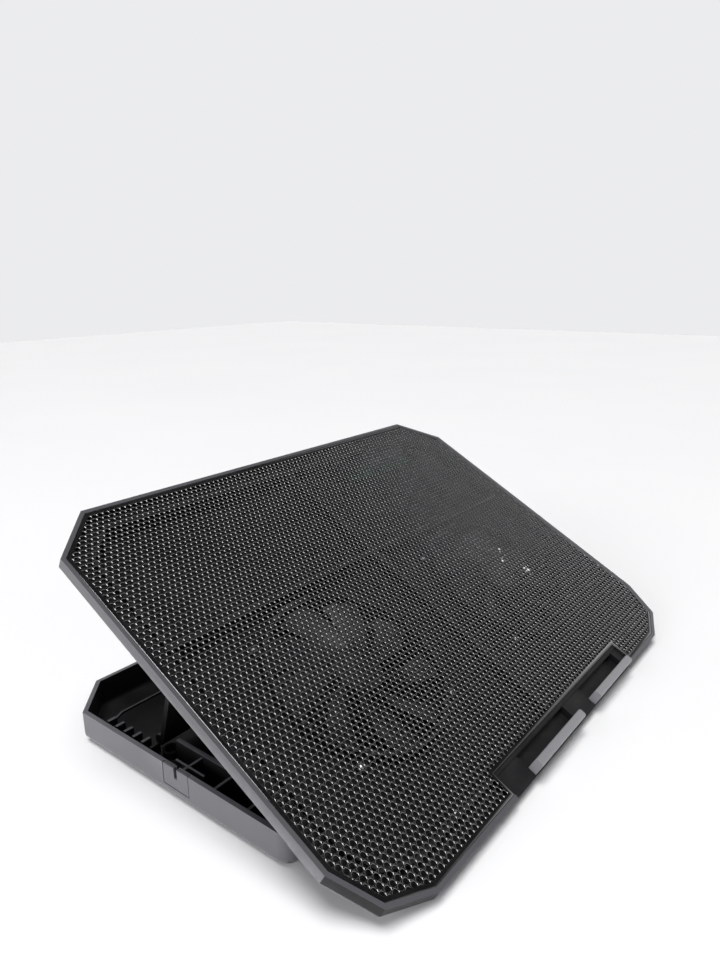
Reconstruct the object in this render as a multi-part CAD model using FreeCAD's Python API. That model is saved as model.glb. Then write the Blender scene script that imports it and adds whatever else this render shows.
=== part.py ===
"""Laptop cooling pad: a hinged, fan-cooled panel on a tray base, held up by a support flap.

Millimetres, +Z up.  The origin is on the table under the middle of the whole object, +X is to the
user's right and +Y points away from the user.  The panel parts are drawn flat in the panel's own
frame (x, s, n): s runs up the slope from the panel's front edge, n is the height above the rim's
top face.  panel_place() then tilts them about the hinge into the working position.
"""
import FreeCAD, Part
import math
import os

V = FreeCAD.Vector
os.makedirs("parts", exist_ok=True)

# ---- working position ----
TILT = 28.5             # panel slope above the table, degrees
FLAP_LEAN = 17.0        # support flap, degrees forward of upright
HINGE_Y = -53.8         # hinge axis of panel and base
HINGE_Z = 12.4
HINGE_S = 62.3          # the same axis in the panel's frame
HINGE_N = -27.95

# ---- panel ----
PANEL_W = 356.0
PANEL_D = 262.0
RIM_H = 6.0
RIM_WALL = 2.4
FRONT_CUT = 36.0        # the front corners are cut by two facets that meet at FACET_KNEE
FACET_KNEE = 11.0
REAR_CUT = 28.0
FLANGE_W = 16.0
FLANGE_T = 1.6
LIP_H = 1.6             # the lip under the front of the rim
LIP_W = 7.0
LIP_REACH = 56.0
MESH_T = 0.8
MESH_DROP = 0.3         # mesh top below the rim's top
MESH_GAP = 0.2
COVER_INSET = 13.0
COVER_BOTTOM = -12.0
COVER_T = 2.0

# ---- laptop stops in the front edge ----
STOP_SPANS = {"left": (-47.0, 10.0), "right": (34.0, 88.0)}
STOP_BLOCK = (-70.0, 96.0)
STOP_S = 3.2            # stop hinge line
STOP_N = -3.0
STOP_T = 5.0
STOP_TOP = 6.0          # how far a raised stop stands above the rim
STOP_PIN_R = 1.0
POCKET_D = 13.5

# ---- fans ----
FAN_X = 80.0
FAN_S = 101.5
DRUM_R = 56.0
DRUM_WALL = 2.0
DRUM_BOTTOM = -17.5
GRILLE_T = 2.0
FAN_RING_R = 53.4
FAN_RING_T = 2.6
FAN_TOP = -3.6
FAN_BOTTOM = DRUM_BOTTOM + GRILLE_T + 0.2
HUB_R = 15.0
BLADES = 9
BLADE_TIP_R = 49.6
SHAFT_R = 1.5
RUN_GAP = 0.05          # running clearance on a radius
EAR_ANGLES = (45.0, 135.0, 225.0, 315.0)
EAR_R = 57.4

# ---- hub pocket at the right rear ----
HUB_X = (48.0, 138.0)
HUB_S0 = 222.0
HUB_BOTTOM = -16.0
HUB_WALL = 1.8
COVER_REAR_S = PANEL_D - COVER_INSET
BOARD_T = 1.4
BOARD_N = -14.0         # underside of the board
SOCKET_X = (92.0, 116.0)
SOCKET_W = 14.4
SOCKET_H = 6.4
SOCKET_L = 17.0
INLET_X = 132.0
WHEEL_X = 66.0
WHEEL_S = 243.0
WHEEL_R = 9.0
WHEEL_T = 3.4

# ---- support flap ----
FLAP_S = 169.0          # flap pin in the panel's frame
FLAP_N = -26.0
FLAP_HALF_W = 149.4
FLAP_T = 6.4
FLAP_SIDE_INSET = 6.5     # the side ribs stand in from the plate's edge
FLAP_UP = 12.4          # above the pin
FLAP_DOWN = 62.0        # below the pin
FLAP_EAR_X = 120.0
FLAP_EAR_T = 7.0
FLAP_PIN_R = 1.5
FLAP_PIN_L = 32.0

# ---- base tray ----
TRAY_W = 337.0
TRAY_FRONT = -60.8
TRAY_REAR = 123.6
TRAY_BOTTOM = 0.8
TRAY_TOP = 19.1
TRAY_WALL = 2.6
FLOOR_T = 1.6
TRAY_REAR_CUT = 24.0
TRAY_CORNER_R = 8.0
TRAY_EDGE_R = 5.0
INNER_WALL_X = (150.4, 153.0)
INNER_WALL_REAR = 36.2
RIB_YS = (15.2, -8.2, -31.6)
RIB_T = 1.6
RACK_X = (150.3, 155.9)
RACK_PITCH = 8.1
RACK_REAR_Y = 96.2
RACK_TEETH = 6
TOOTH_H = 5.6
FLOOR_RIB_H = 1.2       # low enough for the flap's foot to pass over
GUIDE_Y = (7.3, 27.3)
GUIDE_BOTTOM = 6.9
GUIDE_T = 1.8
GUIDE_GAP = 0.15
NOTCH_W = 2.2
NOTCH_H = 6.0

# ---- hinge ----
LUG_X = 132.0
LUG_T = 9.0
LUG_R = 4.6
EAR_T = 4.0
SIDE_GAP = 0.4
HINGE_PIN_R = 2.0

FLOOR_TOP = TRAY_BOTTOM + FLOOR_T


def box(x0, x1, y0, y1, z0, z1):
    """Axis-aligned block between two corners."""
    return Part.makeBox(x1 - x0, y1 - y0, z1 - z0, V(x0, y0, z0))


def rod(radius, start, axis, length):
    """Solid round bar."""
    return Part.makeCylinder(radius, length, V(*start), V(*axis))


def flat_face(points):
    """Flat face in the XY plane from corner points."""
    corners = [V(x, y, 0) for x, y in points]
    return Part.Face(Part.makePolygon(corners + corners[:1]))


def slab(face, low, high):
    """Prism on a flat face between two heights."""
    moved = face.copy()
    moved.translate(V(0, 0, low))
    return moved.extrude(V(0, 0, high - low))


def ring(face, outer_inset, inner_inset, low, high):
    """Band that follows a face's outline between two insets."""
    outer = face if outer_inset == 0 else face.makeOffset2D(-outer_inset)
    inner = face.makeOffset2D(-inner_inset)
    return slab(outer, low, high).cut(slab(inner, low - 1, high + 1))


def join(solids):
    """One clean solid from touching solids."""
    return solids[0].multiFuse(solids[1:]).removeSplitter()


def mirrored(shape):
    """The same shape on the other side of the YZ plane."""
    return shape.mirror(V(0, 0, 0), V(1, 0, 0))


def panel_place(shape):
    """From the panel's flat frame to the working position."""
    placed = shape.copy()
    placed.translate(V(0, HINGE_Y - HINGE_S, HINGE_Z - HINGE_N))
    placed.rotate(V(0, HINGE_Y, HINGE_Z), V(1, 0, 0), TILT)
    return placed


def flap_place(shape):
    """From a frame hung at the flap pin, plate along -Z, to the working position."""
    pin = panel_place(Part.Vertex(V(0, FLAP_S, FLAP_N))).Point
    placed = shape.copy()
    placed.rotate(V(0, 0, 0), V(1, 0, 0), FLAP_LEAN)
    placed.translate(pin)
    return placed


def save(name, shape):
    """Write one node."""
    solids = shape.Solids
    assert solids, name
    result = solids[0] if len(solids) == 1 else Part.makeCompound(solids)
    assert result.isValid(), name
    result.exportStep(f"parts/{name}.step")
    print(name, len(solids), round(result.Volume / 1000.0, 2), "cm3")


# ---------------------------------------------------------------- panel

def panel_outline():
    """Outline of the rim: double-facet front corners, plain chamfers at the rear."""
    half = PANEL_W / 2
    right = [
        (half - FRONT_CUT, 0.0),
        (half - FACET_KNEE, FACET_KNEE),
        (half, FRONT_CUT),
        (half, PANEL_D - REAR_CUT),
        (half - REAR_CUT, PANEL_D),
    ]
    left = [(-x, s) for x, s in reversed(right)]
    return flat_face(right + left)


def panel_frame(outline):
    """Rim wall, bottom flange, mesh ledge, cross bars, front lip and the block for the stops."""
    ledge_top = -MESH_DROP - MESH_T
    wall = ring(outline, 0, RIM_WALL, -RIM_H, 0)
    flange = ring(outline, RIM_WALL - 0.5, FLANGE_W, -RIM_H, FLANGE_T - RIM_H)
    ledge = ring(outline, RIM_WALL - 0.5, RIM_WALL + 2.6, ledge_top - 1.4, ledge_top)
    post = ring(outline, FLANGE_W - 2.0, FLANGE_W, -RIM_H, ledge_top)
    mid_bar = box(-2, 2, FLANGE_W - 1, PANEL_D - FLANGE_W + 1, -RIM_H, ledge_top)
    rear_bar = box(-PANEL_W / 2 + FLANGE_W - 1, PANEL_W / 2 - FLANGE_W + 1, 159, 163, -RIM_H, ledge_top)
    lip = ring(outline, 0.6, LIP_W, -RIM_H - LIP_H, -RIM_H + 0.5)
    lip = lip.common(box(-PANEL_W, PANEL_W, -1, LIP_REACH, -RIM_H - LIP_H, -RIM_H + 0.5))
    block = box(STOP_BLOCK[0], STOP_BLOCK[1], 0, POCKET_D + 2.5, -RIM_H - LIP_H, -1.8)
    frame = join([wall, flange, ledge, post, mid_bar, rear_bar, lip, block])
    frame = frame.cut(box(STOP_BLOCK[0], STOP_SPANS["right"][1] + 0.5, -1, POCKET_D, -1.8, 1))
    for x0, x1 in STOP_SPANS.values():
        frame = frame.cut(box(x0 - 0.5, x1 + 0.5, -1, POCKET_D, -RIM_H, 1))
        pin_hole = rod(STOP_PIN_R, (x0 - 5, STOP_S, STOP_N), (1, 0, 0), x1 - x0 + 10)
        frame = frame.cut(pin_hole)
    for x, s in cover_screw_places():
        frame = frame.cut(rod(1.1, (x, s, -RIM_H - 1), (0, 0, 1), 3))
    return frame.removeSplitter()


def mesh_panel(outline):
    """Sheet of punched metal, cut back round the stops."""
    sheet = slab(outline.makeOffset2D(-RIM_WALL - MESH_GAP), -MESH_DROP - MESH_T, -MESH_DROP)
    clear = box(STOP_BLOCK[0] - MESH_GAP, STOP_BLOCK[1] + MESH_GAP, -1, POCKET_D + 2.7, -3, 1)
    return sheet.cut(clear)


def cover_screw_places():
    """Panel-frame positions of the screws that hold the back cover to the frame's flange."""
    x_side = PANEL_W / 2 - COVER_INSET - 1.6 + 0.1
    front = COVER_INSET + 1.6
    rear = COVER_REAR_S - 1.6
    places = [(side * x_side, s) for side in (-1, 1) for s in (60.0, 140.0, 215.0)]
    places += [(side * 100.0, front + 2.0) for side in (-1, 1)]
    places += [(-100.0, rear), (0.0, rear)]
    return places


def back_cover(outline):
    """Shallow shell under the frame with fan drums, hub pocket, hinge lugs and flap ears."""
    skin = outline.makeOffset2D(-COVER_INSET)
    plate = slab(skin, COVER_BOTTOM, COVER_BOTTOM + COVER_T)
    wall = ring(skin, 0, 3.2, COVER_BOTTOM, -RIM_H)
    stop_step = box(STOP_BLOCK[0] - 1, STOP_BLOCK[1] + 1, 0, POCKET_D + 2.8, -RIM_H - LIP_H - 0.3, 0)
    front_lip = ring(outline, 0, LIP_W + 0.3, -RIM_H - LIP_H - 0.3, 0)
    parts = [plate, wall]
    for side in (-1, 1):
        centre = (side * FAN_X, FAN_S, DRUM_BOTTOM)
        parts.append(rod(DRUM_R, centre, (0, 0, 1), COVER_BOTTOM + COVER_T - DRUM_BOTTOM))
    parts.append(box(HUB_X[0], HUB_X[1], HUB_S0, COVER_REAR_S, HUB_BOTTOM, -RIM_H))
    for side in (-1, 1):
        parts.append(hinge_lug(side))
        parts.append(flap_ear(side))
    cover = join(parts)
    for side in (-1, 1):
        hole = (side * FAN_X, FAN_S, DRUM_BOTTOM - 1)
        cover = cover.cut(rod(DRUM_R - DRUM_WALL, hole, (0, 0, 1), 20))
        for angle in EAR_ANGLES:
            x, s = fan_screw_place(side, angle)
            cover = cover.cut(rod(1.05, (x, s, COVER_BOTTOM - 1), (0, 0, 1), COVER_T + 2))
        cover = cover.cut(rod(HINGE_PIN_R + RUN_GAP, (side * LUG_X - 20, HINGE_S, HINGE_N), (1, 0, 0), 40))
        cover = cover.cut(rod(FLAP_PIN_R, (side * FLAP_EAR_X - 20, FLAP_S, FLAP_N), (1, 0, 0), 40))
    cover = cover.cut(hub_room()).cut(stop_step).cut(front_lip)
    for x, s in cover_screw_places():
        cover = cover.cut(rod(1.15, (x, s, COVER_BOTTOM - 1), (0, 0, 1), 12))
        cover = cover.cut(rod(2.35, (x, s, COVER_BOTTOM - 1), (0, 0, 1), 2.4))
    return cover.removeSplitter()


def hinge_lug(side):
    """Leg from the cover's underside down to the hinge barrel."""
    x0 = side * LUG_X - LUG_T / 2
    leg = box(x0, x0 + LUG_T, HINGE_S - LUG_R, HINGE_S + LUG_R, HINGE_N, COVER_BOTTOM + 0.5)
    return leg.fuse(rod(LUG_R, (x0, HINGE_S, HINGE_N), (1, 0, 0), LUG_T))


def flap_ear(side):
    """Ear under the cover that carries the flap pin."""
    x0 = side * FLAP_EAR_X - FLAP_EAR_T / 2
    leg = box(x0, x0 + FLAP_EAR_T, FLAP_S - 4, FLAP_S + 4, FLAP_N, COVER_BOTTOM + 0.5)
    return leg.fuse(rod(4.0, (x0, FLAP_S, FLAP_N), (1, 0, 0), FLAP_EAR_T))


# ---------------------------------------------------------------- hub at the right rear

def hub_room():
    """Space inside the hub pocket, with its mouths in the rear wall."""
    room = box(HUB_X[0] + HUB_WALL, HUB_X[1] - HUB_WALL, HUB_S0 + HUB_WALL, COVER_REAR_S - HUB_WALL,
               HUB_BOTTOM + HUB_WALL, 0)
    top = BOARD_N + BOARD_T + SOCKET_H
    mouths = []
    for x in SOCKET_X:
        mouths.append(box(x - SOCKET_W / 2 - 0.2, x + SOCKET_W / 2 + 0.2, COVER_REAR_S - 5,
                          COVER_REAR_S + 1, BOARD_N + BOARD_T - 0.2, top + 0.2))
    mouths.append(box(INLET_X - 4.2, INLET_X + 4.2, COVER_REAR_S - 5, COVER_REAR_S + 1,
                      BOARD_N + BOARD_T - 0.2, BOARD_N + BOARD_T + 5.2))
    slot_half = WHEEL_R + 0.6
    mouths.append(box(WHEEL_X - slot_half, WHEEL_X + slot_half, COVER_REAR_S - 5, COVER_REAR_S + 1,
                      wheel_low() - 0.6, wheel_low() + WHEEL_T + 0.6))
    return room.multiFuse(mouths)


def wheel_low():
    """Underside of the speed wheel."""
    return BOARD_N + BOARD_T + 2.4


def hub_board():
    """Circuit board on two rails, with the potentiometer under the wheel."""
    board = box(HUB_X[0] + 3, HUB_X[1] - 2.2, HUB_S0 + 3, COVER_REAR_S - 2.2, BOARD_N, BOARD_N + BOARD_T)
    low = HUB_BOTTOM + HUB_WALL
    rails = [box(x, x + 3, HUB_S0 + 4, COVER_REAR_S - 4, low, BOARD_N) for x in (80.0, 124.0)]
    pot = box(WHEEL_X - 5, WHEEL_X + 5, WHEEL_S - 5, WHEEL_S + 2, BOARD_N + BOARD_T, BOARD_N + BOARD_T + 2)
    chip = box(76.0, 82.0, 228.0, 234.0, BOARD_N + BOARD_T, BOARD_N + BOARD_T + 1.4)
    whole = join([board, pot, chip] + rails)
    return whole.cut(rod(SHAFT_R + RUN_GAP, (WHEEL_X, WHEEL_S, BOARD_N - 1), (0, 0, 1), 10))


def usb_socket(x):
    """Rectangular shell with a tongue, open to the rear."""
    low = BOARD_N + BOARD_T
    rear = COVER_REAR_S - 0.2
    shell = box(x - SOCKET_W / 2, x + SOCKET_W / 2, rear - SOCKET_L, rear, low, low + SOCKET_H)
    room = box(x - SOCKET_W / 2 + 0.7, x + SOCKET_W / 2 - 0.7, rear - SOCKET_L + 2, rear + 1,
               low + 0.7, low + SOCKET_H - 0.7)
    tongue = box(x - 5.4, x + 5.4, rear - SOCKET_L + 1, rear - 1.5, low + 3.3, low + SOCKET_H - 1.2)
    return shell.cut(room).fuse(tongue)


def power_inlet():
    """Small socket for the power lead."""
    low = BOARD_N + BOARD_T
    rear = COVER_REAR_S - 0.2
    shell = box(INLET_X - 3.8, INLET_X + 3.6, rear - 9, rear, low, low + 4.6)
    room = box(INLET_X - 3.2, INLET_X + 3.0, rear - 7, rear + 1, low + 0.6, low + 4.0)
    tongue = box(INLET_X - 2.2, INLET_X + 2.0, rear - 8, rear - 1.2, low + 2.3, low + 3.1)
    return shell.cut(room).fuse(tongue)


def speed_wheel():
    """Ribbed thumbwheel on a short spindle."""
    low = wheel_low()
    wheel = rod(WHEEL_R, (WHEEL_X, WHEEL_S, low), (0, 0, 1), WHEEL_T)
    spindle = rod(SHAFT_R, (WHEEL_X, WHEEL_S, BOARD_N + 0.2), (0, 0, 1), low - BOARD_N)
    wheel = wheel.fuse(spindle)
    grooves = 24
    for i in range(grooves):
        angle = 2 * math.pi * i / grooves
        x = WHEEL_X + WHEEL_R * math.cos(angle)
        s = WHEEL_S + WHEEL_R * math.sin(angle)
        wheel = wheel.cut(rod(0.55, (x, s, low - 1), (0, 0, 1), WHEEL_T + 2))
    return wheel


# ---------------------------------------------------------------- fans

def fan_screw_place(side, angle):
    """Position of one fan screw in the panel's frame."""
    turn = math.radians(angle)
    return side * FAN_X + EAR_R * math.cos(turn), FAN_S + EAR_R * math.sin(turn)


def fan_frame(side):
    """Round fan body with four struts, motor plate and screw ears."""
    low = FAN_BOTTOM
    centre = V(side * FAN_X, FAN_S, 0)
    tall = FAN_TOP - low
    body = rod(FAN_RING_R, (0, 0, low), (0, 0, 1), tall)
    body = body.cut(rod(FAN_RING_R - FAN_RING_T, (0, 0, low - 1), (0, 0, 1), tall + 2))
    parts = [body, rod(HUB_R, (0, 0, low), (0, 0, 1), 1.6), rod(4.2, (0, 0, low), (0, 0, 1), 4.6)]
    for angle in (0.0, 90.0, 180.0, 270.0):
        strut = box(HUB_R - 2, FAN_RING_R - 1, -2, 2, low, low + 1.6)
        strut.rotate(V(0, 0, 0), V(0, 0, 1), angle)
        parts.append(strut)
    ear_low = COVER_BOTTOM + COVER_T
    for angle in EAR_ANGLES:
        arm = box(FAN_RING_R - 1, EAR_R, -3, 3, ear_low, ear_low + 1.6)
        ear = arm.fuse(rod(3.0, (EAR_R, 0, ear_low), (0, 0, 1), 1.6))
        ear = ear.cut(rod(1.2, (EAR_R, 0, ear_low - 1), (0, 0, 1), 4))
        ear.rotate(V(0, 0, 0), V(0, 0, 1), angle)
        parts.append(ear)
    frame = join(parts).cut(rod(3.0, (0, 0, low + 0.8), (0, 0, 1), 6))
    frame.translate(centre)
    return frame


def fan_bearing(side):
    """Sleeve bearing in the motor tube."""
    low = FAN_BOTTOM + 0.8
    sleeve = rod(3.0, (side * FAN_X, FAN_S, low), (0, 0, 1), 3.6)
    return sleeve.cut(rod(SHAFT_R + RUN_GAP, (side * FAN_X, FAN_S, low - 1), (0, 0, 1), 6))


def fan_rotor(side):
    """Hub cup with swept blades and its shaft."""
    top = FAN_TOP - 1.2
    low = FAN_BOTTOM + 2.2
    cup = rod(HUB_R, (0, 0, low), (0, 0, 1), top - low)
    cup = cup.cut(rod(HUB_R - 1.4, (0, 0, low - 1), (0, 0, 1), top - low - 0.6))
    shaft = rod(SHAFT_R, (0, 0, FAN_BOTTOM + 1.0), (0, 0, 1), top - FAN_BOTTOM - 1.2)
    parts = [cup, shaft]
    band = rod(BLADE_TIP_R, (0, 0, low), (0, 0, 1), top - low)
    band = band.cut(rod(HUB_R - 0.8, (0, 0, low - 1), (0, 0, 1), top - low + 2))
    for i in range(BLADES):
        blade = box(0, BLADE_TIP_R + 5, -7.5, 7.5, -0.6, 0.6)
        blade.rotate(V(0, 0, 0), V(1, 0, 0), 32.0)
        blade.rotate(V(0, 0, 0), V(0, 0, 1), 360.0 * i / BLADES)
        blade.translate(V(0, 0, (top + low) / 2))
        parts.append(blade.common(band))
    rotor = join(parts)
    rotor.translate(V(side * FAN_X, FAN_S, 0))
    return rotor


def fan_grille(side):
    """Guard of rings and spokes in the mouth of a drum."""
    outer = DRUM_R - DRUM_WALL
    low = DRUM_BOTTOM
    parts = []
    for radius in (outer, 44.0, 34.0, 24.0):
        hoop = rod(radius, (0, 0, low), (0, 0, 1), GRILLE_T)
        parts.append(hoop.cut(rod(radius - 2.0, (0, 0, low - 1), (0, 0, 1), GRILLE_T + 2)))
    parts.append(rod(14.0, (0, 0, low), (0, 0, 1), GRILLE_T))
    for i in range(8):
        spoke = box(12.0, outer - 1, -1, 1, low, low + GRILLE_T)
        spoke.rotate(V(0, 0, 0), V(0, 0, 1), 45.0 * i + 22.5)
        parts.append(spoke)
    guard = join(parts)
    guard.translate(V(side * FAN_X, FAN_S, 0))
    return guard


def screw(x, s, head_low, head_high, tip, head_r, shank_r):
    """Pan-head screw along n with a cross recess, head between two heights."""
    head = rod(head_r, (x, s, head_low), (0, 0, 1), head_high - head_low)
    low, high = sorted((tip, head_low + (head_high - head_low) / 2))
    body = head.fuse(rod(shank_r, (x, s, low), (0, 0, 1), high - low))
    face = head_low if tip > head_high else head_high
    for a, b in ((0.35, 1.4), (1.4, 0.35)):
        body = body.cut(box(x - a, x + a, s - b, s + b, face - 0.7, face + 0.7))
    return body


def cover_screws():
    """Screws from below through the back cover into the flange."""
    head_low = COVER_BOTTOM - 0.2
    head_high = COVER_BOTTOM + 1.4
    return Part.makeCompound([screw(x, s, head_low, head_high, -RIM_H + 1.8, 2.3, 1.1)
                              for x, s in cover_screw_places()])


def fan_screws():
    """Screws from above through the fan ears into the back cover."""
    low = COVER_BOTTOM + COVER_T + 1.6
    places = [fan_screw_place(side, angle) for side in (-1, 1) for angle in EAR_ANGLES]
    return Part.makeCompound([screw(x, s, low, low + 1.6, COVER_BOTTOM + 0.2, 2.2, 1.05)
                              for x, s in places])


# ---------------------------------------------------------------- laptop stops

def laptop_stop(x0, x1):
    """Raised bar that turns back into its pocket."""
    low = STOP_N - STOP_T / 2
    bar = box(x0, x1, STOP_S - STOP_T / 2, STOP_S + STOP_T / 2, low, STOP_TOP)
    along = [e for e in bar.Edges if abs(e.tangentAt(e.FirstParameter).x) > 0.9]
    bar = bar.makeFillet(1.6, along)
    return bar.cut(rod(STOP_PIN_R + RUN_GAP, (x0 - 1, STOP_S, STOP_N), (1, 0, 0), x1 - x0 + 2))


def stop_pin(x0, x1):
    """Steel wire through one stop, held at both ends in the frame."""
    return rod(STOP_PIN_R, (x0 - 4.8, STOP_S, STOP_N), (1, 0, 0), x1 - x0 + 9.6)


def pad_foot(side):
    """Rubber strip under the lip at the front corner."""
    x0, x1 = sorted((side * 84.0, side * 134.0))
    low = -RIM_H - LIP_H
    return box(x0, x1, 0.8, 6.0, low - 0.5, low)


# ---------------------------------------------------------------- support flap

def support_flap():
    """Plate with stiffening ribs behind, slotted at the top for the two ears."""
    half = FLAP_T / 2
    plate = box(-FLAP_HALF_W, FLAP_HALF_W, -half, half - 3.4, -FLAP_DOWN + half, FLAP_UP)
    side_x = FLAP_HALF_W - FLAP_SIDE_INSET
    sides = [box(s * side_x - 1.5, s * side_x + 1.5, -half, half, -FLAP_DOWN + half, FLAP_UP) for s in (-1, 1)]
    bars = [box(-side_x, side_x, -half, half, z, z + 3.0) for z in (-34.0, FLAP_UP - 3.0)]
    ribs = [box(x - 1, x + 1, -half, half, -FLAP_DOWN + half, FLAP_UP) for x in range(-100, 101, 50)]
    foot = rod(half, (-FLAP_HALF_W, 0, -FLAP_DOWN + half), (1, 0, 0), 2 * FLAP_HALF_W)
    bosses = []
    for side in (-1, 1):
        x = side * FLAP_EAR_X
        bosses.append(box(x - 18, x + 18, -half, half, -9, FLAP_UP))
    flap = join([plate] + sides + bars + ribs + [foot] + bosses)
    for side in (-1, 1):
        x = side * FLAP_EAR_X
        room = FLAP_EAR_T / 2 + SIDE_GAP
        flap = flap.cut(box(x - room, x + room, -half - 1, half + 1, -6, FLAP_UP + 1))
        flap = flap.cut(rod(FLAP_PIN_R + RUN_GAP, (x - 17, 0, 0), (1, 0, 0), 34))
    return flap.removeSplitter()


def flap_pin(side):
    """Steel pin through one ear and both sides of the flap's slot."""
    return rod(FLAP_PIN_R, (side * FLAP_EAR_X - FLAP_PIN_L / 2, 0, 0), (1, 0, 0), FLAP_PIN_L)


# ---------------------------------------------------------------- base

def tray_outline():
    """Rounded front corners come later as fillets; the rear corners are chamfered."""
    half = TRAY_W / 2
    right = [
        (half, TRAY_FRONT),
        (half, TRAY_REAR - TRAY_REAR_CUT),
        (half - TRAY_REAR_CUT, TRAY_REAR),
    ]
    left = [(-x, y) for x, y in reversed(right)]
    return flat_face(right + left)


def tray_body():
    """The tray's outer form, solid, with rounded front corners and bottom edges."""
    body = slab(tray_outline(), TRAY_BOTTOM, TRAY_TOP)
    uprights = [e for e in body.Edges if is_front_upright(e)]
    body = body.makeFillet(TRAY_CORNER_R, uprights)
    bottom = [e for e in body.Edges if e.BoundBox.ZMax < TRAY_BOTTOM + 0.01]
    return body.makeFillet(TRAY_EDGE_R, bottom)


def tray_room():
    """The space inside the tray's walls."""
    room = slab(tray_outline().makeOffset2D(-TRAY_WALL), FLOOR_TOP, TRAY_TOP + 1)
    uprights = [e for e in room.Edges if is_front_upright(e)]
    room = room.makeFillet(TRAY_CORNER_R - TRAY_WALL, uprights)
    bottom = [e for e in room.Edges if e.BoundBox.ZMax < FLOOR_TOP + 0.01]
    return room.makeFillet(TRAY_EDGE_R - TRAY_WALL, bottom)


def is_front_upright(edge):
    """True for the two vertical edges at the front corners."""
    centre = edge.CenterOfMass
    upright = abs(edge.tangentAt(edge.FirstParameter).z) > 0.9
    return upright and centre.y < TRAY_FRONT + TRAY_WALL + 1


def rack(side):
    """Saw teeth that hold the flap's foot."""
    teeth = []
    for i in range(RACK_TEETH):
        y = RACK_REAR_Y - RACK_PITCH * i
        profile = [V(0, y - 1.2, FLOOR_TOP - 0.5), V(0, y + 3.6, FLOOR_TOP - 0.5),
                   V(0, y + 0.9, FLOOR_TOP + TOOTH_H), V(0, y - 1.2, FLOOR_TOP + TOOTH_H)]
        tooth = Part.Face(Part.makePolygon(profile + profile[:1])).extrude(V(RACK_X[1] - RACK_X[0], 0, 0))
        tooth.translate(V(RACK_X[0], 0, 0))
        teeth.append(tooth if side > 0 else mirrored(tooth))
    return teeth


def side_bays(side):
    """Inner wall beside the flap's room and the ribs out to the tray's side."""
    low = FLOOR_TOP - 0.5
    parts = [box(INNER_WALL_X[0], INNER_WALL_X[1], TRAY_FRONT + 1, INNER_WALL_REAR, low, TRAY_TOP)]
    outer = TRAY_W / 2 - 1
    for y in RIB_YS:
        parts.append(box(INNER_WALL_X[0] + 1, outer, y - RIB_T / 2, y + RIB_T / 2, low, TRAY_TOP - 1.5))
    strip_x = TRAY_W / 2 - TRAY_WALL - 3.2
    parts.append(box(strip_x - 1.2, strip_x, GUIDE_Y[0] - 5, GUIDE_Y[1] - 3, low, TRAY_TOP - 1.0))
    boss = rod(5.0, (148.0, 47.7, low), (0, 0, 1), 4.5)
    boss = boss.cut(rod(3.4, (148.0, 47.7, FLOOR_TOP), (0, 0, 1), 6))
    parts.append(boss)
    corner = [V(141.4, 104.2, low), V(151.4, 95.7 + 4.0, low), V(155.4, 91.0, low),
              V(160.7, 91.0, low), V(165.9, 86.0, low)]
    for a, b in zip(corner, corner[1:]):
        parts.append(low_wall(a, b, 1.4, FLOOR_TOP + FLOOR_RIB_H))
    return [p if side > 0 else mirrored(p) for p in parts]


def low_wall(a, b, thick, top):
    """Thin wall between two floor points."""
    run = b.sub(a)
    wall = box(-thick / 2, run.Length + thick / 2, -thick / 2, thick / 2, 0, top - a.z)
    wall.rotate(V(0, 0, 0), V(0, 0, 1), math.degrees(math.atan2(run.y, run.x)))
    wall.translate(a)
    return wall


def hinge_ears(side):
    """Two ears that hold one hinge pin."""
    ears = []
    inner = LUG_T / 2 + SIDE_GAP
    for offset in (-inner - EAR_T, inner):
        x0 = side * LUG_X + offset
        leg = box(x0, x0 + EAR_T, HINGE_Y - 5.5, HINGE_Y + 5.5, FLOOR_TOP - 0.5, HINGE_Z)
        ears.append(leg.fuse(rod(5.5, (x0, HINGE_Y, HINGE_Z), (1, 0, 0), EAR_T)))
    return ears


def guide_window(side, gap):
    """Space of one cable guide in the tray's side wall."""
    x0 = TRAY_W / 2 - GUIDE_T - gap
    window = box(x0, TRAY_W / 2 + (1 if gap else 0), GUIDE_Y[0] - gap, GUIDE_Y[1] + gap,
                 GUIDE_BOTTOM - gap, TRAY_TOP + (1 if gap else 0))
    return window if side > 0 else mirrored(window)


def cable_guide(side):
    """Plate set into the side wall, notched in the middle of its top edge."""
    middle = (GUIDE_Y[0] + GUIDE_Y[1]) / 2
    plate = guide_window(1, 0)
    notch = box(TRAY_W / 2 - 5, TRAY_W / 2 + 5, middle - NOTCH_W / 2, middle + NOTCH_W / 2,
                TRAY_TOP - NOTCH_H, TRAY_TOP + 1)
    plate = plate.cut(notch)
    return plate if side > 0 else mirrored(plate)


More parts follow.
